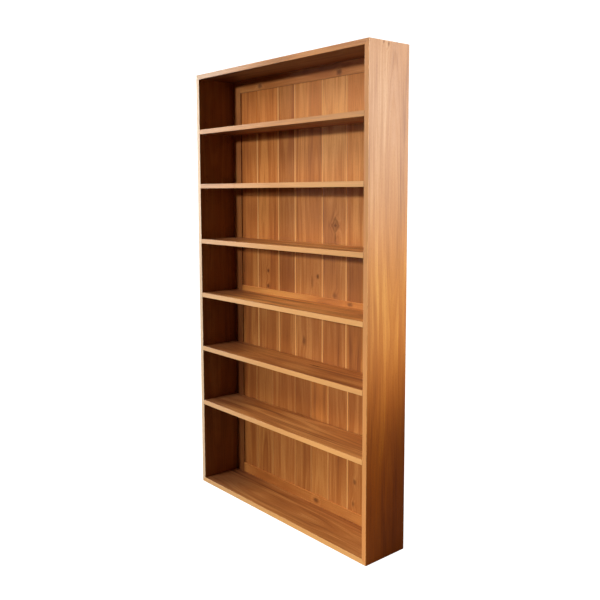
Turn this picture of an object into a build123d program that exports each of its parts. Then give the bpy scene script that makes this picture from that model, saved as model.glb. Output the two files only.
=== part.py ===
from build123d import *
import os

# Bookcase with adjustable shelves. Millimetres, +Z up, the open front looks along -Y, and the origin
# is the middle of the footprint on the floor.
#
# The case is two sides, a top and a bottom of one thickness, mitred at the corners over hidden splines.
# Six loose shelves rest on steel pins that push into rows of blind holes in the sides.
# The back is a grooved frame of two stiles and four rails that holds upright tongued boards of
# uneven widths. It sits in a rebate round the rear of the case and is screwed on from behind.

# ---- Case ----
case_width = 1200.0
case_depth = 240.0
case_thickness = 23.0  # sides, top and bottom
arris = 1.2  # rounding of the edges that a hand meets
rebate_width = 12.0  # how far the back's rebate goes into the case's thickness

spline_thickness = 4.0
spline_width = 14.0
spline_inset = 12.0  # from the inside corner to the spline's middle, along the mitre
spline_stop = 12.0  # from each end of the spline to the front and to the rebate
spline_slack = 0.1

# ---- Shelves ----
clear_heights = [253.0, 254.0, 262.0, 259.0, 262.0, 270.0, 406.0]  # compartments, top one first
shelf_thickness = 23.0
shelf_end_gap = 1.0  # at each end, so that a shelf lifts without binding
shelf_back_gap = 1.0

# ---- Shelf pins and their holes ----
pin_radius = 2.5
pin_slack = 0.05  # between a pin and its hole, on the radius
pin_length = 8.0
pin_hole_depth = 9.0
pin_drop = 4.0  # from the shelf's underside down to the pin's axis
pin_tip = 0.5  # bevel on the end that enters the hole
collar_radius = 3.7
collar_thickness = 1.0
neck_length = 5.0
lug_length = 12.0
lug_width = 9.0
lug_thickness = 2.2
lug_corner = 2.5
pin_row_inset = 37.0  # from the shelf's front and back edges to the two rows
hole_pitch = 32.0
holes_each_way = 2  # spare holes above and below the one in use

# ---- Back frame ----
rear_inset = 3.0  # from the case's rear edges to the frame
frame_thickness = 20.0
frame_gap = 0.2  # round the frame, in the rebate
stile_width = 76.0
top_rail_width = 72.0
mid_rail_width = 60.0
bottom_rail_width = 62.0
mid_rail_rise = 27.0  # the middle rail's top edge above the fourth shelf
hidden_rail_drop = 3.0  # the hidden rail's top edge below the fifth shelf's top
tenon_length = 30.0
tenon_thickness = 8.0
tenon_shoulder = 10.0
tenon_slack = 0.1
mortise_bottom_gap = 1.0

# ---- Boards of the back ----
board_thickness = 9.0
board_recess = 6.0  # from the frame's face back to the boards
groove_depth = 8.0
groove_slack = 0.15  # on each face of a board in the frame's grooves
board_end_gap = 1.0  # room to swell, at a board's top end and at the outermost edges
joint_gap = 0.4
bevel_width = 6.0
bevel_depth = 2.2
tongue_thickness = 3.0
tongue_length = 5.0
tongue_setback = 4.0  # from the board's face to the tongue
tongue_slack = 0.15
tongue_end_gap = 0.6
long_board_shares = [133.0, 167.0, 125.0, 193.0, 157.0, 133.0, 118.0]  # left to right
low_board_shares = [112.0, 128.0, 179.0, 117.0, 121.0, 130.0, 121.0, 118.0]

# ---- Screws of the back ----
screw_head_radius = 3.6
screw_head_depth = 2.2
screw_shank_radius = 1.9
screw_length = 35.0
screw_tip = 4.0
screw_sink = 0.2
screw_slack = 0.05
screw_end_gap = 1.0
recess_span = 4.4
recess_width = 1.0
recess_depth = 1.4
side_screws = 6
rail_screws = 4
screw_end_inset = 90.0  # from the case's outside corners to the first screw

# ---- Worked out ----
shelf_count = len(clear_heights) - 1
case_height = sum(clear_heights) + shelf_count * shelf_thickness + 2 * case_thickness
half_width = case_width / 2
half_depth = case_depth / 2
inner_half_width = half_width - case_thickness
inner_top = case_height - case_thickness

shelf_tops = []
level = inner_top
for clear_height in clear_heights[:-1]:
    level -= clear_height
    shelf_tops.append(level)
    level -= shelf_thickness
shelf_undersides = [top - shelf_thickness for top in shelf_tops]

frame_back = half_depth - rear_inset
frame_front = frame_back - frame_thickness
rebate_half_width = inner_half_width + rebate_width
rebate_bottom = case_thickness - rebate_width
rebate_top = inner_top + rebate_width
frame_half_width = rebate_half_width - frame_gap
frame_bottom = rebate_bottom + frame_gap
frame_top = rebate_top - frame_gap
opening_half_width = frame_half_width - stile_width

board_front = frame_front + board_recess
board_back = board_front + board_thickness
board_middle = (board_front + board_back) / 2
groove_width = board_thickness + 2 * groove_slack

rails = {
    "top_rail": (frame_top - top_rail_width, top_rail_width),
    "mid_rail": (shelf_tops[3] + mid_rail_rise - mid_rail_width, mid_rail_width),
    "hidden_rail": (shelf_tops[4] - hidden_rail_drop - mid_rail_width, mid_rail_width),
    "bottom_rail": (frame_bottom, bottom_rail_width),
}

shelf_front = -half_depth
shelf_back = frame_front - shelf_back_gap
pin_rows = [shelf_front + pin_row_inset, shelf_back - pin_row_inset]

screw_line = inner_half_width + rebate_width / 2
screw_rise = (case_height - 2 * screw_end_inset) / (side_screws - 1)
side_screw_heights = [screw_end_inset + i * screw_rise for i in range(side_screws)]
screw_step = (case_width - 4 * screw_end_inset) / (rail_screws - 1)
rail_screw_places = [2 * screw_end_inset - half_width + i * screw_step for i in range(rail_screws)]
screw_head_plane = frame_back - screw_sink


def save(piece, name):
    """Labels a finished piece and writes it under its own name."""
    piece.part.label = name
    export_step(piece.part, f"parts/{name}.step")


os.makedirs("parts", exist_ok=True)

# ---- Tools that cut more than one piece ----

# The space of the rebate, from side to side and from the bottom to the top.
with BuildPart() as rebate_space:
    with BuildSketch(Plane.XZ.offset(-frame_front)):
        with Locations((0, case_height / 2)):
            Rectangle(2 * rebate_half_width, rebate_top - rebate_bottom)
    extrude(amount=-(half_depth - frame_front))


def screw_outline(extra, end_gap):
    """Half of a countersunk screw, with its head's top at zero and its tip along -Y."""
    head = screw_head_radius + extra
    shank = screw_shank_radius + extra
    end = screw_length + end_gap
    return [(0, 0), (head, 0), (shank, -screw_head_depth), (shank, screw_tip - end), (0, -end)]


with BuildPart() as screw:
    with BuildSketch(Plane.XY):
        with BuildLine():
            Polyline(*screw_outline(0, 0), close=True)
        make_face()
    revolve(axis=Axis.Y)
    with BuildSketch(Plane.XZ):
        Rectangle(recess_span, recess_width)
        Rectangle(recess_width, recess_span)
    extrude(amount=recess_depth, mode=Mode.SUBTRACT)

# The screw's hole, open past the head so that it also cuts the sunk rim.
with BuildPart() as screw_hole:
    with BuildSketch(Plane.XY):
        with BuildLine():
            Polyline(*screw_outline(screw_slack, screw_end_gap), close=True)
        make_face()
    revolve(axis=Axis.Y)
    with BuildSketch(Plane.XZ):
        Circle(screw_head_radius + screw_slack)
    extrude(amount=-2 * screw_sink)


def side_screw_spots(side):
    """Where the screws through one stile stand. side is -1 on the left and 1 on the right."""
    return [(side * screw_line, screw_head_plane, height) for height in side_screw_heights]


def rail_screw_spots(height):
    """Where the screws through the top or the bottom rail stand."""
    return [(place, screw_head_plane, height) for place in rail_screw_places]


low_screw_height = case_thickness - rebate_width / 2
high_screw_height = case_height - low_screw_height

# ---- Mitre splines ----
spline_offset = spline_inset / 2**0.5
spline_front = -half_depth + spline_stop
spline_run = frame_front - spline_stop - spline_front
corners = {
    "top_left": (-1, 1),
    "top_right": (1, 1),
    "bottom_left": (-1, -1),
    "bottom_right": (1, -1),
}


def spline_place(across, up):
    """Middle of a corner's spline, seen from the front, and the angle of its width."""
    place_x = across * (inner_half_width + spline_offset)
    place_z = case_height / 2 + up * (case_height / 2 - case_thickness + spline_offset)
    return place_x, place_z, -45.0 * across * up


for corner, (across, up) in corners.items():
    place_x, place_z, angle = spline_place(across, up)
    with BuildPart() as spline:
        with BuildSketch(Plane.XZ.offset(-spline_front)):
            with Locations((place_x, place_z)):
                Rectangle(spline_width, spline_thickness, rotation=angle)
        extrude(amount=-spline_run)
    save(spline, f"mitre_spline_{corner}")


def case_board(outline, corner_signs, screw_spots):
    """A mitred board of the case with its rebate, spline slots and screw holes."""
    with BuildPart() as board:
        with BuildSketch(Plane.XZ.offset(half_depth)):
            with BuildLine():
                Polyline(*outline, close=True)
            make_face()
        extrude(amount=-case_depth)
        add(rebate_space.part, mode=Mode.SUBTRACT)
        for across, up in corner_signs:
            place_x, place_z, angle = spline_place(across, up)
            with BuildSketch(Plane.XZ.offset(-spline_front + spline_slack)):
                with Locations((place_x, place_z)):
                    slot_width = spline_width + 2 * spline_slack
                    slot_thickness = spline_thickness + 2 * spline_slack
                    Rectangle(slot_width, slot_thickness, rotation=angle)
            extrude(amount=-(spline_run + 2 * spline_slack), mode=Mode.SUBTRACT)
        with Locations(*screw_spots):
            add(screw_hole.part, mode=Mode.SUBTRACT)
    return board


# ---- Sides ----
hole_heights = [
    underside - pin_drop + step * hole_pitch
    for underside in shelf_undersides
    for step in range(-holes_each_way, holes_each_way + 1)
]
for name, side in (("side_left", -1), ("side_right", 1)):
    outer_x = side * half_width
    inner_x = side * inner_half_width
    outline = [(outer_x, 0), (outer_x, case_height), (inner_x, inner_top), (inner_x, case_thickness)]
    plain_side = case_board(outline, [(side, 1), (side, -1)], side_screw_spots(side))
    with BuildPart() as case_side:
        add(plain_side.part)
        front_edges = case_side.edges().filter_by(Axis.Z).group_by(Axis.Y)[0]
        rear_edges = case_side.edges().filter_by(Axis.Z).group_by(Axis.Y)[-1]
        outer_rear_edge = rear_edges.sort_by(lambda edge: abs(edge.center().X))[-1]
        fillet([*front_edges, outer_rear_edge], arris)
        with BuildSketch(Plane.YZ.offset(inner_x)):
            with Locations(*[(row, height) for row in pin_rows for height in hole_heights]):
                Circle(pin_radius + pin_slack)
        extrude(amount=side * pin_hole_depth, mode=Mode.SUBTRACT)
    save(case_side, name)

# ---- Top and bottom ----
for name, outer_z, inner_z, up, screw_height in (
    ("top_board", case_height, inner_top, 1, high_screw_height),
    ("bottom_board", 0, case_thickness, -1, low_screw_height),
):
    outline = [
        (-half_width, outer_z),
        (half_width, outer_z),
        (inner_half_width, inner_z),
        (-inner_half_width, inner_z),
    ]
    plain_board = case_board(outline, [(-1, up), (1, up)], rail_screw_spots(screw_height))
    with BuildPart() as flat_board:
        add(plain_board.part)
        front_edges = flat_board.edges().filter_by(Axis.X).group_by(Axis.Y)[0]
        rear_edges = flat_board.edges().filter_by(Axis.X).group_by(Axis.Y)[-1]
        outer_rear_edge = rear_edges.sort_by(lambda edge: up * edge.center().Z)[-1]
        fillet([*front_edges, outer_rear_edge], arris)
    save(flat_board, name)

# ---- Shelves ----
shelf_width = 2 * (inner_half_width - shelf_end_gap)
for number, underside in enumerate(shelf_undersides, start=1):
    with BuildPart() as shelf:
        with BuildSketch(Plane.XY.offset(underside)):
            with Locations((0, (shelf_front + shelf_back) / 2)):
                Rectangle(shelf_width, shelf_back - shelf_front)
        extrude(amount=shelf_thickness)
        fillet(shelf.edges().filter_by(Axis.X).group_by(Axis.Y)[0], arris)
    save(shelf, f"shelf_{number}")

# ---- Shelf pins ----
# One pin: its axis lies along X, its collar meets the case at X = 0 and its flat lug carries the shelf
# at Z = 0.
with BuildPart() as pin:
    with BuildSketch(Plane.YZ.offset(-pin_length)):
        with Locations((0, -pin_drop)):
            Circle(pin_radius)
    extrude(amount=pin_length + collar_thickness + neck_length)
    chamfer(pin.edges().filter_by(GeomType.CIRCLE).sort_by(Axis.X)[0], pin_tip)
    with BuildSketch(Plane.YZ):
        with Locations((0, -pin_drop)):
            Circle(collar_radius)
    extrude(amount=collar_thickness)
    with BuildSketch(Plane.XY):
        with Locations((collar_thickness + lug_length / 2, 0)):
            lug_plate = Rectangle(lug_length, lug_width)
        fillet(lug_plate.vertices().group_by(Axis.X)[-1], lug_corner)
    extrude(amount=-lug_thickness)

for number, underside in enumerate(shelf_undersides, start=1):
    for side_name, side, turn in (("left", -1, 0), ("right", 1, 180)):
        spots = [Location((side * inner_half_width, row, underside), (0, 0, turn)) for row in pin_rows]
        with BuildPart() as pin_pair:
            with Locations(*spots):
                add(pin.part)
        save(pin_pair, f"shelf_{number}_pins_{side_name}")

# ---- Stiles ----
mortise_depth = tenon_length + mortise_bottom_gap
mortise_thickness = tenon_thickness + 2 * tenon_slack
for name, side in (("stile_left", -1), ("stile_right", 1)):
    with BuildPart() as stile:
        with BuildSketch(Plane.XY.offset(frame_bottom)):
            with Locations((side * (frame_half_width - stile_width / 2), (frame_front + frame_back) / 2)):
                Rectangle(stile_width, frame_thickness)
        extrude(amount=frame_top - frame_bottom)
        with BuildSketch(Plane.XY.offset(frame_bottom)):
            with Locations((side * (opening_half_width + groove_depth / 2), board_middle)):
                Rectangle(groove_depth, groove_width)
        extrude(amount=frame_top - frame_bottom, mode=Mode.SUBTRACT)
        for rail_bottom, rail_width in rails.values():
            with BuildSketch(Plane.XY.offset(rail_bottom + tenon_shoulder - tenon_slack)):
                with Locations((side * (opening_half_width + mortise_depth / 2), board_middle)):
                    Rectangle(mortise_depth, mortise_thickness)
            extrude(amount=rail_width - 2 * (tenon_shoulder - tenon_slack), mode=Mode.SUBTRACT)
        with Locations(*side_screw_spots(side)):
            add(screw_hole.part, mode=Mode.SUBTRACT)
    save(stile, name)

# ---- Rails ----
# Each tenon has a full-width haunch that fills the stile's groove, and a longer, narrower tongue.
rail_screw_heights = {"top_rail": high_screw_height, "bottom_rail": low_screw_height}
haunch_length = groove_depth - board_end_gap
for name, (rail_bottom, rail_width) in rails.items():
    with BuildPart() as rail:
        with BuildSketch(Plane.XY.offset(rail_bottom)):
            with Locations((0, (frame_front + frame_back) / 2)):
                Rectangle(2 * opening_half_width, frame_thickness)
        extrude(amount=rail_width)
        with BuildSketch(Plane.XY.offset(rail_bottom)):
            with Locations((0, board_middle)):
                Rectangle(2 * (opening_half_width + haunch_length), tenon_thickness)
        extrude(amount=rail_width)
        with BuildSketch(Plane.XY.offset(rail_bottom + tenon_shoulder)):
            with Locations((0, board_middle)):
                Rectangle(2 * (opening_half_width + tenon_length), tenon_thickness)
        extrude(amount=rail_width - 2 * tenon_shoulder)
        # The edges that face boards are grooved from end to end.
        groove_floors = []
        if name != "bottom_rail":
            groove_floors.append(rail_bottom)
        if name != "top_rail":
            groove_floors.append(rail_bottom + rail_width - groove_depth)
        for floor in groove_floors:
            with BuildSketch(Plane.XY.offset(floor)):
                with Locations((0, board_middle)):
                    Rectangle(2 * (opening_half_width + tenon_length), groove_width)
            extrude(amount=groove_depth, mode=Mode.SUBTRACT)
        if name in rail_screw_heights:
            with Locations(*rail_screw_spots(rail_screw_heights[name])):
                add(screw_hole.part, mode=Mode.SUBTRACT)
    save(rail, name)


# ---- Boards of the back ----
def board_outline(left, right, first, last):
    """Plan of one board. Its joints are bevelled on the face, grooved on the left, tongued on the right."""
    tongue_front = board_front + tongue_setback
    tongue_back = tongue_front + tongue_thickness
    points = [(left, board_back)]
    if first:
        points += [(left, board_front)]
    else:
        groove_floor = left + tongue_length + tongue_end_gap
        points += [
            (left, tongue_back + tongue_slack),
            (groove_floor, tongue_back + tongue_slack),
            (groove_floor, tongue_front - tongue_slack),
            (left, tongue_front - tongue_slack),
            (left, board_front + bevel_depth),
            (left + bevel_width, board_front),
        ]
    if last:
        points += [(right, board_front)]
    else:
        points += [
            (right - bevel_width, board_front),
            (right, board_front + bevel_depth),
            (right, tongue_front),
            (right + tongue_length, tongue_front),
            (right + tongue_length, tongue_back),
            (right, tongue_back),
        ]
    return [*points, (right, board_back)]


def joint_lines(shares):
    """Where the joints between boards fall, from one edge of the frame's opening to the other."""
    lines = [-opening_half_width]
    for share in shares:
        lines.append(lines[-1] + 2 * opening_half_width * share / sum(shares))
    return lines


def rail_edges(lower_rail, upper_rail):
    """Top edge of the rail below a panel and bottom edge of the rail above it."""
    lower_bottom, lower_width = rails[lower_rail]
    return lower_bottom + lower_width, rails[upper_rail][0]


panels = {
    "upper": (long_board_shares, "mid_rail", "top_rail"),
    "middle": (long_board_shares, "hidden_rail", "mid_rail"),
    "lower": (low_board_shares, "bottom_rail", "hidden_rail"),
}
into_stile = groove_depth - board_end_gap
for panel_name, (shares, lower_rail, upper_rail) in panels.items():
    lines = joint_lines(shares)
    panel_bottom, panel_top = rail_edges(lower_rail, upper_rail)
    board_bottom = panel_bottom - groove_depth
    board_top = panel_top + groove_depth - board_end_gap
    for number in range(1, len(shares) + 1):
        first = number == 1
        last = number == len(shares)
        left = lines[number - 1] - into_stile if first else lines[number - 1] + joint_gap / 2
        right = lines[number] + into_stile if last else lines[number] - joint_gap / 2
        with BuildPart() as back_board:
            with BuildSketch(Plane.XY.offset(board_bottom)):
                with BuildLine():
                    Polyline(*board_outline(left, right, first, last), close=True)
                make_face()
            extrude(amount=board_top - board_bottom)
        save(back_board, f"{panel_name}_board_{number}")

# ---- Screws of the back ----
all_spots = [
    *side_screw_spots(-1),
    *side_screw_spots(1),
    *rail_screw_spots(high_screw_height),
    *rail_screw_spots(low_screw_height),
]
with BuildPart() as back_screws:
    with Locations(*all_spots):
        add(screw.part)
save(back_screws, "back_screws")
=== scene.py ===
import math

import bpy
from mathutils import Matrix, Vector


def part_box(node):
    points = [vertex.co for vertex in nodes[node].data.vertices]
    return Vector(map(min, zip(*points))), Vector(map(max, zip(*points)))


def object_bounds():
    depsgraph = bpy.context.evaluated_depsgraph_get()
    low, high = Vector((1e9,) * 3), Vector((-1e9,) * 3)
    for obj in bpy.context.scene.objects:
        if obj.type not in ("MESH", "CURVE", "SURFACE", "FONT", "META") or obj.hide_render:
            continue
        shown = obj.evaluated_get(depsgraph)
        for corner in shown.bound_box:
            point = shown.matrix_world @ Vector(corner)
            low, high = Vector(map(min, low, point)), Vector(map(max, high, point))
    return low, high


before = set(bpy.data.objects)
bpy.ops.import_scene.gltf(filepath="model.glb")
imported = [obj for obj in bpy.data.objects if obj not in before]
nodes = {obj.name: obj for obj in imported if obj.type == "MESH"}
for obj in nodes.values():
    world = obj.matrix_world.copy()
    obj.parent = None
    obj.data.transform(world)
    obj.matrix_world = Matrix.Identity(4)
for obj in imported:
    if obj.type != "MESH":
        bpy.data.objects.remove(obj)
cad_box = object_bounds()


# ---------------------------------------------------------------- camera

# The camera stands at eye height before the right end of the bookcase, and looks a little down.
CAMERA_PLACE = (2.6158, -2.2778, 1.5672)
CAMERA_TURN = math.radians(50.785)
CAMERA_DIP = math.radians(5.87)
CAMERA_TILT = math.radians(-0.426)
CAMERA_LENS = 44.202
CAMERA_FILM = 36.0
CAMERA_SHIFT = (0.0533, -0.0583)


def make_camera():
    data = bpy.data.cameras.new("camera")
    data.lens = CAMERA_LENS
    data.sensor_width = CAMERA_FILM
    data.shift_x, data.shift_y = CAMERA_SHIFT
    camera = bpy.data.objects.new("camera", data)
    bpy.context.scene.collection.objects.link(camera)
    ahead = Vector((-math.sin(CAMERA_TURN) * math.cos(CAMERA_DIP),
                    math.cos(CAMERA_TURN) * math.cos(CAMERA_DIP),
                    -math.sin(CAMERA_DIP)))
    right = Vector((math.cos(CAMERA_TURN), math.sin(CAMERA_TURN), 0.0))
    up = right.cross(ahead)
    level = right * math.cos(CAMERA_TILT) + up * math.sin(CAMERA_TILT)
    upright = up * math.cos(CAMERA_TILT) - right * math.sin(CAMERA_TILT)
    turn = Matrix((level, upright, -ahead)).transposed()
    camera.matrix_world = Matrix.Translation(CAMERA_PLACE) @ turn.to_4x4()
    bpy.context.scene.camera = camera


# ---------------------------------------------------------------- shader arithmetic

class Wire:
    """An output socket that takes part in plain arithmetic."""

    def __init__(self, finish, socket):
        self.finish = finish
        self.socket = socket

    def also(self, number):
        """Another output of the same node."""
        return Wire(self.finish, self.socket.node.outputs[number])

    def absolute(self):
        return self.finish.math("ABSOLUTE", self)

    def fraction(self):
        return self.finish.math("FRACT", self)

    def least(self, other):
        return self.finish.math("MINIMUM", self, other)

    def most(self, other):
        return self.finish.math("MAXIMUM", self, other)

    def __add__(self, other):
        return self.finish.math("ADD", self, other)

    def __sub__(self, other):
        return self.finish.math("SUBTRACT", self, other)

    def __rsub__(self, other):
        return self.finish.math("SUBTRACT", other, self)

    def __mul__(self, other):
        return self.finish.math("MULTIPLY", self, other)

    def __truediv__(self, other):
        return self.finish.math("DIVIDE", self, other)

    def __pow__(self, power):
        return self.finish.math("POWER", self, power)

    __radd__ = __add__
    __rmul__ = __mul__


class Finish:
    """A node tree and the ways that nodes are added to it."""

    def __init__(self, tree):
        self.tree = tree
        tree.nodes.clear()

    def add(self, kind, settings, sockets, output=0):
        """One node: its settings first, then a value or a link for each of its sockets."""
        node = self.tree.nodes.new(kind)
        for name, value in settings.items():
            setattr(node, name, value)
        for key, value in sockets.items():
            if isinstance(value, Wire):
                self.tree.links.new(value.socket, node.inputs[key])
            else:
                node.inputs[key].default_value = value
        return Wire(self, node.outputs[output]) if node.outputs else None

    def math(self, operation, *terms):
        return self.add("ShaderNodeMath", {"operation": operation}, dict(enumerate(terms)))

    def vector(self, x, y, z):
        """Three numbers or wires as one vector."""
        return self.add("ShaderNodeCombineXYZ", {}, {0: x, 1: y, 2: z})

    def parts(self, vector):
        """The x, y and z wires of a vector."""
        first = self.add("ShaderNodeSeparateXYZ", {}, {0: vector})
        return [first, first.also(1), first.also(2)]

    def noise(self, place, scale, detail=2.0, roughness=0.5):
        return self.add("ShaderNodeTexNoise", {},
                        {"Vector": place, "Scale": scale, "Detail": detail, "Roughness": roughness})

    def rise(self, value, start, end):
        """A smooth step: 0 before start and 1 past end."""
        return self.add("ShaderNodeMapRange", {"interpolation_type": "SMOOTHSTEP"},
                        {0: value, 1: start, 2: end})

    def colour(self, share, first, second, way="MIX"):
        """A colour mix, whose sockets 0, 6 and 7 are the share and the two colours."""
        return self.add("ShaderNodeMix", {"data_type": "RGBA", "blend_type": way},
                        {0: share, 6: first, 7: second}, output=2)

    def tint(self, share, body, tone):
        """The body's colour times a tone, as far as the share says."""
        return self.colour(share, body, (*tone, 1.0), "MULTIPLY")


def new_finish(name):
    material = bpy.data.materials.new(name)
    material.use_nodes = True
    return material, Finish(material.node_tree)


def dress(node_name, material):
    """Puts a finish on every material slot of a CAD node."""
    for slot in nodes[node_name].material_slots:
        slot.material = material


# ---------------------------------------------------------------- teak

PALE_WOOD = (0.612, 0.256, 0.068, 1.0)
MIDDLE_WOOD = (0.450, 0.149, 0.031, 1.0)
DARK_WOOD = (0.220, 0.058, 0.012, 1.0)
KNOT_WOOD = (0.115, 0.034, 0.008, 1.0)
WORN_WOOD = (0.720, 0.340, 0.110, 1.0)
# Painted highlight colours: the pale gloss of the front edges and bevels, and the whiter sheen of the front
# edges at the left.
HIGHLIGHT_WOOD = (0.820, 0.425, 0.150, 1.0)
SHEEN_WOOD = (0.930, 0.790, 0.620, 1.0)
END_WOOD = (0.300, 0.105, 0.030, 1.0)
X, Y, Z = 0, 1, 2

# The growth rings, in metres.
RING_WIDTH = 0.0062
HEART_WANDER = 0.055
HEART_DRIFT = 0.07
RING_SWELL = 0.014
STAVE_SHIFT = 0.031

# How fine each part of the figure is, in patterns to a metre, and how much it darkens the wood.
YEARS, YEARS_SHARE = 62.0, 1.75
DECADES, DECADES_SHARE = 19.0, 1.3
FIBRES, FIBRES_SHARE = 620.0, 0.35
THREADS, THREADS_SHARE = 230.0, 0.85
CLOUDS, CLOUDS_SHARE = 7.0, 0.40
PORES = 1500.0
LATE_SHARE = 0.08

# Roughness, and how much duller the bevels and the knots are.
SATIN = 0.46
DULL_BEVEL = 0.35
DULL_KNOT = 0.3


class Knot:
    """A knot or dark streak: its place across and along the board, half width and half length.

    depth is how dark it is, push how far the rings bend round it, and a diamond one has a dark rim.
    """

    def __init__(self, across, along, width, length, depth=0.9, push=0.010, diamond=False):
        self.across = across
        self.along = along
        self.width = width
        self.length = length
        self.depth = depth
        self.push = push
        self.diamond = diamond


class Side:
    """A side of a board tinted apart from the rest, mostly with painted shade or light, perhaps only from
    start to end of its length.

    slope is how far along the board that change moves for each metre across it.
    """

    def __init__(self, axis, way, tone, start=None, end=None, slope=0.0):
        self.axis = axis
        self.way = way
        self.tone = tone
        self.start = start
        self.end = end
        self.slope = slope


class Edge:
    """How strong the painted highlight on the front edge is at the case's right and left ends, and how
    strong the whiter painted sheen is at its left.
    """

    def __init__(self, right, left, white_sheen):
        self.right = right
        self.left = left
        self.white_sheen = white_sheen


class Board:
    """Where a point of a board lies along its grain, across its face and through its thickness."""

    def __init__(self, finish, node_name, grain, wide):
        thin = 3 - grain - wide
        self.low, self.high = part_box(node_name)
        middle = (self.low + self.high) / 2
        self.middle = middle[wide]
        self.place = finish.add("ShaderNodeTexCoord", {}, {}, output="Object")
        self.position = finish.parts(self.place)
        self.facing = finish.parts(finish.add("ShaderNodeNewGeometry", {}, {}, output="Normal"))
        self.along = self.position[grain]
        self.across = self.position[wide] - self.middle
        self.through = self.position[thin] - middle[thin]
        self.end_grain = finish.rise(self.facing[grain].absolute(), 0.75, 0.95)


def glue_staves(finish, across, joints):
    """The figure's place across the board, which jumps at each joint, the staves' tones and the glue."""
    figure = across
    stave_tone = 0.0
    glue_line = 0.0
    for place, change in joints:
        past = finish.rise(across, place - 0.0001, place + 0.0001)
        line = 1 - finish.rise((across - place).absolute(), 0.0002, 0.0008)
        figure = figure + past * (STAVE_SHIFT + place)
        stave_tone = past * change + stave_tone
        glue_line = line.most(glue_line)
    return figure, stave_tone, glue_line


def heart_distance(finish, board, figure, seed, heart):
    """How far a point lies from the tree's heart, which wanders as it runs along the board."""
    # The figure changes slowly along the grain, so that way is squeezed before each noise.
    slow = finish.vector(figure * 3.0 + seed, board.through * 3.0, board.along * 0.55 + seed * 3.1)
    wander = (finish.noise(slow, 1.6, 3.0) - 0.5) * HEART_WANDER
    swell = (finish.noise(slow, 4.2, 2.0) - 0.5) * RING_SWELL
    drift = (finish.noise(finish.vector(seed, 0.3, board.along * 1.3), 1.0, 1.0) - 0.5) * HEART_DRIFT
    side = figure - heart[0] + wander
    depth = board.through + heart[1] + drift
    return (side * side + depth * depth) ** 0.5 + swell


def knot_core(finish, knot, distance):
    """How dark a knot is at a distance from its middle, where 1 is its rim."""
    if not knot.diamond:
        return (1 - finish.rise(distance, 0.30, 1.30)) * knot.depth
    rim = finish.rise(distance, 0.55, 1.0) * (1 - finish.rise(distance, 1.0, 1.45))
    pith = (1 - finish.rise(distance, 0.15, 0.6)) * knot.depth
    ground = 1 - finish.rise(distance, 0.9, 1.3)
    return pith.most(rim * 0.60).most(ground * 0.42)


def press_knots(finish, board, figure, radius, knots):
    """Bends the rings round each knot, and gives the dark wood of all of them."""
    dark = 0.0
    for knot in knots:
        sideways = (board.across - (knot.across - board.middle)) / knot.width
        lengthways = (board.along - knot.along) / knot.length
        if knot.diamond:
            distance = sideways.absolute() + lengthways.absolute()
        else:
            distance = (sideways * sideways + lengthways * lengthways) ** 0.5
        radius = radius + (1 - finish.rise(distance, 0.0, 3.0)) * knot.push
        rough_place = finish.vector(figure, board.through, board.along * 0.4)
        ragged = distance + (finish.noise(rough_place, 160.0, 2.0) - 0.5) * 0.9
        dark = knot_core(finish, knot, ragged).most(dark)
    return radius, dark


def tint_sides(finish, board, body, sides):
    """Tints the sides: mostly painted shade and painted light, a few plain changes of tone."""
    for side in sides:
        share = finish.rise(board.facing[side.axis] * side.way, 0.7, 0.9)
        if side.start is not None:
            share = share * finish.rise(board.along - board.across * side.slope, side.start, side.end)
        body = finish.tint(share, body, side.tone)
    return body


def paint_edge_highlight(finish, board, body, edge, years, wear_and_highlight_noise):
    """Paints a pale highlight on the front edge of a board of the case or of a shelf, with a whiter sheen
    towards the left.
    """
    front = 1 - finish.rise(board.position[Y] - board.low[Y] + (wear_and_highlight_noise - 0.5) * 0.003, 0.0008, 0.0024)
    leftward = finish.rise(board.position[X], cad_box[1][X], cad_box[0][X])
    edge_highlight = edge.right + (edge.left - edge.right) * leftward + (years - 0.5) * 0.5
    body = finish.colour(front * edge_highlight, body, HIGHLIGHT_WOOD)
    sheen_share = finish.rise(board.position[X], 0.1, cad_box[0][X]) * edge.white_sheen
    return finish.colour(front * sheen_share, body, SHEEN_WOOD)


def worn_arrises(finish, board, wear_and_highlight_noise):
    """Where two faces meet: the second smallest of the distances to the board's outsides is small there."""
    position, low, high = board.position, board.low, board.high
    gaps = [(position[axis] - low[axis]).least(high[axis] - position[axis]) for axis in (X, Y, Z)]
    second_gap = gaps[X].least(gaps[Y]).most(gaps[X].most(gaps[Y]).least(gaps[Z]))
    return 1 - finish.rise(second_gap + (wear_and_highlight_noise - 0.5) * 0.004, 0.0003, 0.0026)


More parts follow.
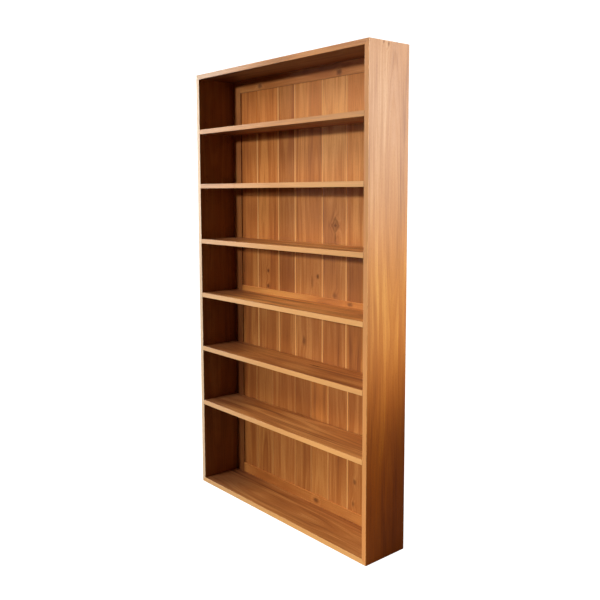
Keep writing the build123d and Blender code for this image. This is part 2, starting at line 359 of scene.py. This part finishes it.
def teak(node_name, grain, wide, tone, seed, heart=(0.02, 0.05), streaks=1.0, knots=(), joints=(),
         edge=None, sides=(), bevel=None, sheen=0.5):
    """Solid teak: growth rings about a heart line, seen wherever the board's faces cut them.

    grain and wide are the axes along the board and across its face.
    tone is the board's own colour, and seed picks its own figure.
    heart is how far the heart line lies to the side of the board's middle and behind it.
    streaks is how strongly the years, decades and threads show.
    joints are the places across the board where its staves are glued, each with its stave's tone.
    edge is the painted highlight and sheen on its front edge, and sides are those tinted apart, mostly with
    painted light or shade.
    bevel is how strong the painted highlight on the right bevel is, and the height above which it stays
    dark.
    sheen is the strength of its gloss.
    """
    material, finish = new_finish("teak_" + node_name)
    board = Board(finish, node_name, grain, wide)
    along, through = board.along, board.through
    figure, stave_tone, glue_line = glue_staves(finish, board.across, joints)
    radius = heart_distance(finish, board, figure, seed, heart)
    radius, knot_dark = press_knots(finish, board, figure, radius, knots)

    ring = (radius / RING_WIDTH).fraction()
    late = finish.rise(ring, 0.35, 0.85) * (1 - finish.rise(ring, 0.88, 1.0))
    years = finish.noise(finish.vector(radius, seed, along * 0.03), YEARS)
    decades = finish.noise(finish.vector(radius, seed + 4.0, along * 0.05), DECADES)
    fibres = finish.noise(finish.vector(figure, through, along * 0.014 + seed), FIBRES, 3.0, 0.65)
    threads = finish.noise(finish.vector(figure, through, along * 0.02 + seed), THREADS)
    pores = finish.rise(finish.noise(finish.vector(figure, through, along * 0.05), PORES, 1.0), 0.62, 0.70)
    cloud = finish.noise(finish.vector(figure, through, along * 0.35 + seed), CLOUDS)

    shade = 0.50 + (years - 0.5) * (YEARS_SHARE * streaks) + (decades - 0.5) * (DECADES_SHARE * streaks)
    shade = shade + late * LATE_SHARE + (fibres - 0.5) * FIBRES_SHARE
    shade = shade + (threads - 0.5) * (THREADS_SHARE * streaks) + (cloud - 0.5) * CLOUDS_SHARE + stave_tone
    body = finish.colour(finish.rise(shade, 0.12, 0.62), PALE_WOOD, MIDDLE_WOOD)
    body = finish.colour(finish.rise(shade, 0.55, 1.15), body, DARK_WOOD)
    body = finish.colour(pores * 0.5, body, DARK_WOOD)
    if joints:
        body = finish.colour(glue_line * 0.45, body, DARK_WOOD)
    body = finish.tint(1.0, body, tone)
    # The sides' painted shade and light, and a few plain tints.
    body = tint_sides(finish, board, body, sides)
    if knots:
        body = finish.colour(knot_dark, body, KNOT_WOOD)

    # Noise that frays both the real worn arrises and the border of the painted front-edge highlight.
    wear_and_highlight_noise = finish.noise(board.place, 38.0, 3.0)
    wear = worn_arrises(finish, board, wear_and_highlight_noise)
    body = finish.colour(wear * 0.30, body, WORN_WOOD)
    # A painted highlight and sheen on the front edge, stronger towards the left.
    if edge:
        body = paint_edge_highlight(finish, board, body, edge, years, wear_and_highlight_noise)
    body = finish.colour(board.end_grain * 0.7, body, END_WOOD)

    roughness = SATIN + late * 0.06 + (cloud - 0.5) * 0.14 + pores * 0.12 - wear * 0.07
    roughness = roughness + board.end_grain * 0.2
    # A painted highlight on the right-facing bevels: a pale line standing in for the key light's gloss on
    # them.
    if bevel:
        highlight_strength, dark_above = bevel
        rightward = board.facing[X]
        slope = finish.rise(rightward, 0.15, 0.25) * (1 - finish.rise(rightward, 0.6, 0.8))
        slope = slope * (1 - board.end_grain)
        bevel_highlight = slope * finish.rise(board.position[Z], dark_above, dark_above - 0.01)
        body = finish.colour(bevel_highlight * (highlight_strength + (years - 0.5) * 0.5), body, HIGHLIGHT_WOOD)
        roughness = roughness + slope * DULL_BEVEL
    if knots:
        roughness = roughness + knot_dark * DULL_KNOT

    height = fibres * 0.5 + late * 0.15 - pores * 0.9
    bump = finish.add("ShaderNodeBump", {}, {"Strength": 0.32, "Distance": 0.0003, "Height": height})
    shader = finish.add("ShaderNodeBsdfPrincipled", {},
                        {"Base Color": body, "Roughness": roughness, "Normal": bump, "IOR": 1.45,
                         "Specular IOR Level": sheen})
    finish.add("ShaderNodeOutputMaterial", {}, {0: shader})
    return material


# ---------------------------------------------------------------- steel

def steel(name, tint, roughness, marks_axis):
    """Drawn and turned steel: fine marks round the pin, small scuffs and a duller film in places."""
    material, finish = new_finish(name)
    place = finish.add("ShaderNodeTexCoord", {}, {}, output="Object")
    position = finish.parts(place)
    squeeze = [1.0 if axis == marks_axis else 0.06 for axis in (X, Y, Z)]
    stretched = finish.vector(*[position[axis] * squeeze[axis] for axis in (X, Y, Z)])
    marks = finish.noise(stretched, 5200.0)
    scuffs = finish.rise(finish.noise(place, 900.0, 4.0, 0.7), 0.56, 0.72)
    film = finish.noise(place, 160.0)
    darker = tuple(0.55 * part for part in tint)
    body = finish.colour(scuffs * 0.35 + (film - 0.5) * 0.5, (*tint, 1.0), (*darker, 1.0))
    bump = finish.add("ShaderNodeBump", {}, {"Strength": 0.25, "Distance": 0.00004, "Height": marks})
    shader = finish.add("ShaderNodeBsdfPrincipled", {},
                        {"Base Color": body, "Metallic": 1.0, "Normal": bump,
                         "Roughness": roughness + scuffs * 0.18 + (film - 0.5) * 0.12})
    finish.add("ShaderNodeOutputMaterial", {}, {0: shader})
    return material


# ---------------------------------------------------------------- the bookcase's finishes

# The tones of whole boards.
PLAIN = (1.00, 1.00, 1.00)
ORANGE = (1.08, 1.02, 0.90)
HONEY = (1.12, 1.18, 1.12)
ROSY = (1.10, 1.18, 1.30)
PALE = (1.14, 1.27, 1.36)
BLOND = (1.30, 1.55, 1.75)
TAWNY = (0.88, 0.84, 0.78)
BROWN = (0.83, 0.77, 0.70)

# Tints of single sides of the case, a shelf or the back: most are painted shade or painted light, the rest
# plain changes of tone.
# A tanner tint on the outer face of the right side.
TANNER_OUTSIDE = (0.97, 1.11, 0.98)
# The next four are painted light on the outer right side: a pale painted sheen near its top, painted shade
# deepening towards the floor, that shade lifted just above the floor, and painted shade towards the back.
TOP_SHEEN = (1.03, 1.26, 2.55)
LOW_SHADE = (1.32, 0.78, 0.16)
LIFT_NEAR_FLOOR = (1.55, 1.46, 1.10)
BACK_SHADE = (0.52, 0.45, 0.36)
# The right side's front edge: warmer all along, and paler towards its foot.
WARMER_FRONT = (1.12, 1.00, 0.80)
PALER_FOOT = (1.30, 1.38, 1.90)
# Painted shade on the inner face of the left side, which faces away from the lights.
INNER_SHADE = (0.66, 0.76, 0.90)
# Painted shade on the left ends of the tops of the shelves and the bottom board.
LEFT_END_SHADE = (0.55, 0.50, 0.62)
# The shelves' tops are painted lighter than their other faces, shelf 4's the most.
LIGHTER_TOP = (1.14, 1.14, 1.14)
LIGHTEST_TOP = (1.32, 1.34, 1.38)
# A painted highlight on the rails' narrow top ledges.
LIT_LEDGE = (1.75, 1.85, 2.00)
# Painted shade on downward faces: under the top board, under the shelves and under the rails.
TOP_UNDERSIDE_SHADE = (0.36, 0.34, 0.34)
SHELF_UNDERSIDE_SHADE = (0.55, 0.50, 0.45)
RAIL_UNDERSIDE_SHADE = (0.40, 0.40, 0.40)
# Painted shade on the stiles' right-facing sides and low on their fronts.
STILE_SIDE_SHADE = (0.30, 0.30, 0.30)
STILE_FOOT_SHADE = (0.46, 0.37, 0.32)
# Painted light on the back boards' fronts: lighter in the top compartment, and painted shade lower down.
TOP_ROW_LIGHT = (1.08, 1.08, 1.10)
LOWER_SHADE = (0.87, 0.85, 0.84)
# One back board painted darker low down, and another lighter higher up.
DARKER_LOW_PART = (0.80, 0.77, 0.72)
LIGHTER_HIGH_PART = (1.20, 1.20, 1.15)

# Steel plated with nickel and with zinc.
PIN_STEEL = (0.62, 0.60, 0.56)
SCREW_STEEL = (0.50, 0.46, 0.40)


def mm(value):
    return value / 1000.0


def dress_case():
    right_knots = [
        Knot(mm(-6), mm(2137), mm(7), mm(12), 0.55),
        Knot(mm(-35), mm(2143), mm(5), mm(9), 0.50),
        Knot(mm(-84), mm(1500), mm(1.3), mm(75), 0.45, 0.0),
        Knot(mm(-42), mm(640), mm(22), mm(130), 0.0, 0.018),
    ]
    right_sides = [
        Side(X, 1, TANNER_OUTSIDE),
        # Painted sheen near the top, painted shade towards the floor, lifted just above it, and painted
        # shade towards the back.
        Side(X, 1, TOP_SHEEN, 1.15, 1.60),
        Side(X, 1, LOW_SHADE, 1.25, 0.36, 0.4),
        Side(X, 1, LIFT_NEAR_FLOOR, 0.56, 0.20),
        Side(X, 1, BACK_SHADE, 0.80, -0.20, 3.0),
        Side(Y, -1, WARMER_FRONT),
        Side(Y, -1, PALER_FOOT, 0.60, 0.10),
    ]
    # Each edge below is the board's painted front-edge highlight and sheen.
    dress("side_right", teak("side_right", Z, Y, PLAIN, 3.7, heart=(0.03, 0.045), streaks=0.50,
                             knots=right_knots, joints=[(0.071, 0.08)], edge=Edge(0.45, 0.45, 0.0),
                             sides=right_sides))
    # The left side's inner face carries painted shade.
    dress("side_left", teak("side_left", Z, Y, PLAIN, 8.2, heart=(-0.04, 0.06), streaks=0.6,
                            joints=[(-0.040, 0.10)], edge=Edge(0.9, 0.9, 0.55), sides=[Side(X, 1, INNER_SHADE)]))
    # The top board's underside carries painted shade.
    dress("top_board", teak("top_board", X, Y, PLAIN, 5.1, heart=(0.05, -0.07), joints=[(0.030, -0.08)],
                            edge=Edge(0.16, 0.22, 0.40), sides=[Side(Z, -1, TOP_UNDERSIDE_SHADE)]))
    # The bottom board's top carries painted shade at its left end.
    dress("bottom_board", teak("bottom_board", X, Y, ROSY, 1.9, heart=(-0.03, 0.05), joints=[(0.045, 0.10)],
                               edge=Edge(0.90, 0.95, 0.12), sides=[Side(Z, 1, LEFT_END_SHADE, -0.16, -0.50)]))
    for number, end in enumerate(("top_left", "top_right", "bottom_left", "bottom_right")):
        name = "mitre_spline_" + end
        dress(name, teak(name, Y, X, BROWN, 11.0 + number))


def dress_shelves():
    # The painted highlight and sheen on each shelf's front edge.
    usual_edge = Edge(0.72, 0.75, 0.22)
    edges = {1: Edge(0.42, 0.25, 0.20), 2: Edge(0.80, 0.06, 0.18), 3: Edge(0.66, 0.55, 0.20)}
    tones = {3: PALE, 4: BLOND, 5: PLAIN}
    tops = {4: LIGHTEST_TOP}
    knots = {5: [Knot(mm(23), mm(141), mm(6), mm(45), 0.85, 0.010)]}
    for number in range(1, 7):
        name = f"shelf_{number}"
        heart = (0.05 * math.sin(2.3 * number), 0.05 + 0.012 * math.cos(1.7 * number))
        joint = (-0.035 + 0.012 * math.sin(1.9 * number), 0.10 * math.cos(2.9 * number))
        sides = [
            # Painted shade under each shelf.
            Side(Z, -1, SHELF_UNDERSIDE_SHADE),
            Side(Z, 1, tops.get(number, LIGHTER_TOP)),
            # Painted shade at the left end of each shelf's top.
            Side(Z, 1, LEFT_END_SHADE, -0.20, -0.54),
        ]
        dress(name, teak(name, X, Y, tones.get(number, ROSY), 20.0 + 1.7 * number, heart=heart,
                         streaks=1.2, knots=knots.get(number, []), joints=[joint],
                         edge=edges.get(number, usual_edge), sides=sides))
        for side in ("left", "right"):
            pins = f"{name}_pins_{side}"
            dress(pins, steel("steel_" + pins, PIN_STEEL, 0.26, X))


def dress_back_frame():
    knots = {
        "top_rail": [Knot(mm(2087), mm(-349), mm(14), mm(20), 0.75),
                     Knot(mm(2086), mm(217), mm(16), mm(18), 0.85)],
        "mid_rail": [Knot(mm(1044), mm(291), mm(10), mm(18), 0.7)],
        "bottom_rail": [Knot(mm(48), mm(65), mm(12), mm(19), 0.75)],
    }
    tones = {"top_rail": PLAIN, "mid_rail": HONEY, "hidden_rail": BROWN, "bottom_rail": BROWN}
    for number, name in enumerate(tones):
        # The rails' undersides carry painted shade and their top ledges a painted highlight.
        dress(name, teak(name, X, Z, tones[name], 31.0 + 2.3 * number, heart=(0.01, 0.12), streaks=0.7,
                         knots=knots.get(name, []), sheen=0.3,
                         sides=[Side(Z, -1, RAIL_UNDERSIDE_SHADE), Side(Z, 1, LIT_LEDGE)]))
    # The stiles carry painted shade on their right-facing sides and low on their fronts.
    for number, name in enumerate(("stile_left", "stile_right")):
        dress(name, teak(name, Z, X, PLAIN, 41.0 + 2.3 * number, heart=(0.02, 0.12), streaks=0.7,
                         sides=[Side(X, 1, STILE_SIDE_SHADE), Side(Y, -1, STILE_FOOT_SHADE, 1.40, 0.7)]))


def dress_back_boards():
    tones = {
        "upper": (ORANGE, ORANGE, BROWN, HONEY, PALE, HONEY, PLAIN),
        "middle": (PLAIN, PLAIN, PLAIN, PLAIN, PLAIN, HONEY, TAWNY),
        "lower": (BROWN, TAWNY, PLAIN, TAWNY, PALE, PLAIN, PLAIN, HONEY),
    }
    seeds = {"upper": 50.0, "middle": 50.0, "lower": 90.0}
    knots = {
        ("upper", 2): [Knot(mm(-301), mm(1151), mm(8), mm(11), 0.9),
                       Knot(mm(-301), mm(1073), mm(12), mm(12), 0.8)],
        ("upper", 4): [Knot(mm(71), mm(1153), mm(9), mm(14), 0.85),
                       Knot(mm(32), mm(1120), mm(9), mm(34), 0.45)],
        ("upper", 5): [Knot(mm(189), mm(1399), mm(21), mm(34), 0.85, 0.020, True),
                       Knot(mm(189), mm(1343), mm(6), mm(40), 0.70, 0.004),
                       Knot(mm(186), mm(1074), mm(14), mm(15), 0.55)],
        ("middle", 4): [Knot(mm(-26), mm(828), mm(14), mm(24), 0.6)],
        ("lower", 7): [Knot(mm(319), mm(217), mm(11), mm(15), 0.65),
                       Knot(mm(310), mm(109), mm(10), mm(14), 0.55)],
    }
    # How strong the painted bevel highlight is on each lower board.
    lower_bevel_highlights = (0.25, 0.25, 0.25, 0.30, 0.50, 0.90, 1.00, 1.00)
    part_tones = {
        ("upper", 6): Side(Y, -1, DARKER_LOW_PART, 1.33, 1.25),
        ("lower", 5): Side(Y, -1, LIGHTER_HIGH_PART, 0.42, 0.48),
    }
    case_top = cad_box[1][Z]
    shelf_bottom, shelf_top = [corner[Z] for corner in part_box("shelf_1")]
    behind_first_shelf = (shelf_bottom + shelf_top) / 2
    for row, row_tones in tones.items():
        seed = seeds[row]
        for number, tone in enumerate(row_tones, 1):
            name = f"{row}_board_{number}"
            heart = (0.05 * math.sin(2.1 * number + seed), 0.045 + 0.025 * math.cos(1.3 * number))
            highlight_strength = lower_bevel_highlights[number - 1] if row == "lower" else 1.0
            dark_above = behind_first_shelf if (row, number) == ("upper", 1) else case_top
            # Painted light on each back board: lighter in the top compartment and painted shade below the
            # middle height; the lower row gets more painted shade above its lowest part.
            sides = [Side(Y, -1, TOP_ROW_LIGHT, 1.86, 1.90), Side(Y, -1, LOWER_SHADE, 1.50, 1.15)]
            if row == "lower":
                sides.append(Side(Y, -1, LOWER_SHADE, 0.42, 0.56))
            if (row, number) in part_tones:
                sides.append(part_tones[row, number])
            dress(name, teak(name, Z, X, tone, seed + 1.9 * number, heart=heart, streaks=0.8,
                             knots=knots.get((row, number), []), sides=sides,
                             bevel=(highlight_strength, dark_above), sheen=0.3))


# ---------------------------------------------------------------- stage and light

WHITE = (1.0, 1.0, 1.0)
WARM_WHITE = (1.0, 0.95, 0.80)
FLOOR_HALF = 14.0
FLOOR_GLOW = 1.15
WALL_WHITE = 1.2
ROOM_FILL = 0.006
KEY_PLACE = (-1.45, -8.5, 3.25)
LOW_KEY_PLACE = (-3.4, -8.0, 2.4)
KEY_SOFTNESS = 0.33
RIGHT_SOFTNESS = 0.3


def make_floor():
    """A plain pale floor that the camera sees as bright paper and the bookcase as dull paper."""
    near, far = -FLOOR_HALF, FLOOR_HALF
    mesh = bpy.data.meshes.new("floor")
    mesh.from_pydata([(near, near, 0), (far, near, 0), (far, far, 0), (near, far, 0)], [], [(0, 1, 2, 3)])
    floor = bpy.data.objects.new("floor", mesh)
    bpy.context.scene.collection.objects.link(floor)
    material, finish = new_finish("pale_floor")
    seen = finish.add("ShaderNodeLightPath", {}, {})
    paper = finish.add("ShaderNodeBsdfDiffuse", {}, {"Color": (0.25, 0.25, 0.25, 1.0)})
    glow = finish.add("ShaderNodeEmission", {}, {"Color": (*WHITE, 1.0), "Strength": FLOOR_GLOW})
    bright = finish.add("ShaderNodeAddShader", {}, {0: paper, 1: glow})
    both = finish.add("ShaderNodeMixShader", {}, {0: seen, 1: paper, 2: bright})
    finish.add("ShaderNodeOutputMaterial", {}, {0: both})
    mesh.materials.append(material)


def make_room():
    """A white room that gives the bookcase only a faint fill."""
    world = bpy.data.worlds.new("studio")
    bpy.context.scene.world = world
    world.use_nodes = True
    air = Finish(world.node_tree)
    seen = air.add("ShaderNodeLightPath", {}, {})
    fill = air.add("ShaderNodeBackground", {}, {0: (1.0, 0.97, 0.94, 1.0), 1: ROOM_FILL})
    white = air.add("ShaderNodeBackground", {}, {0: (*WHITE, 1.0), 1: WALL_WHITE})
    both = air.add("ShaderNodeMixShader", {}, {0: seen, 1: fill, 2: white})
    air.add("ShaderNodeOutputWorld", {}, {0: both})
    bpy.context.scene.view_settings.view_transform = "Standard"


def lamp(name, kind, place, target, power, colour=WHITE, **settings):
    """A light at a place in metres, turned to its target, with its power in watts."""
    data = bpy.data.lights.new(name, kind)
    data.energy = power
    data.color = colour
    for setting, value in settings.items():
        setattr(data, setting, value)
    light = bpy.data.objects.new(name, data)
    bpy.context.scene.collection.objects.link(light)
    light.visible_camera = False
    light.location = place
    light.rotation_euler = (Vector(target) - light.location).to_track_quat("-Z", "Y").to_euler()


def panel(name, place, target, power, width, height, **settings):
    lamp(name, "AREA", place, target, power, shape="RECTANGLE", size=width, size_y=height, **settings)


def spot(name, place, target, power, cone, softness, blend=1.0, colour=WHITE):
    lamp(name, "SPOT", place, target, power, colour, shadow_soft_size=softness,
         spot_size=math.radians(cone), spot_blend=blend)


def key(name, target, power, cone, colour=WHITE, place=KEY_PLACE):
    spot(name, place, target, power, cone, KEY_SOFTNESS, colour=colour)


def make_lights():
    """Keys from the far front left, soft panels at the left and front, and spots on the right side."""
    key("key_wide", (0.0, -0.12, 1.40), 450.0, 60.0)
    key("key_high", (0.35, -0.12, 2.00), 1250.0, 19.0)
    key("key_low", (0.45, -0.12, 0.10), 1150.0, 19.0, WARM_WHITE)
    key("key_left", (-0.60, -0.12, 0.80), 620.0, 18.0, WARM_WHITE, LOW_KEY_PLACE)
    key("key_corner", (0.90, -0.12, 0.10), 1150.0, 14.0, WARM_WHITE)
    panel("left_panel", (-3.6, -1.0, 1.9), (-0.3, -0.1, 1.2), 82.0, 1.4, 2.2)
    panel("front_panel", (-1.2, -2.6, 3.6), (0.0, 0.0, 1.2), 38.0, 1.5, 1.2)
    spot("right_spot", (4.5, 1.2, 3.0), (0.6, 0.0, 1.75), 837.0, 30.0, RIGHT_SOFTNESS, 0.8)
    spot("right_middle", (4.5, 1.2, 2.2), (0.6, 0.0, 1.15), 262.0, 18.0, RIGHT_SOFTNESS)
    panel("right_panel", (3.0, 2.6, 2.3), (0.6, 0.0, 1.6), 13.6, 1.8, 1.0, spread=math.radians(80.0))


make_camera()
dress_case()
dress_shelves()
dress_back_frame()
dress_back_boards()
dress("back_screws", steel("steel_screws", SCREW_STEEL, 0.34, Y))
make_floor()
make_room()
make_lights()
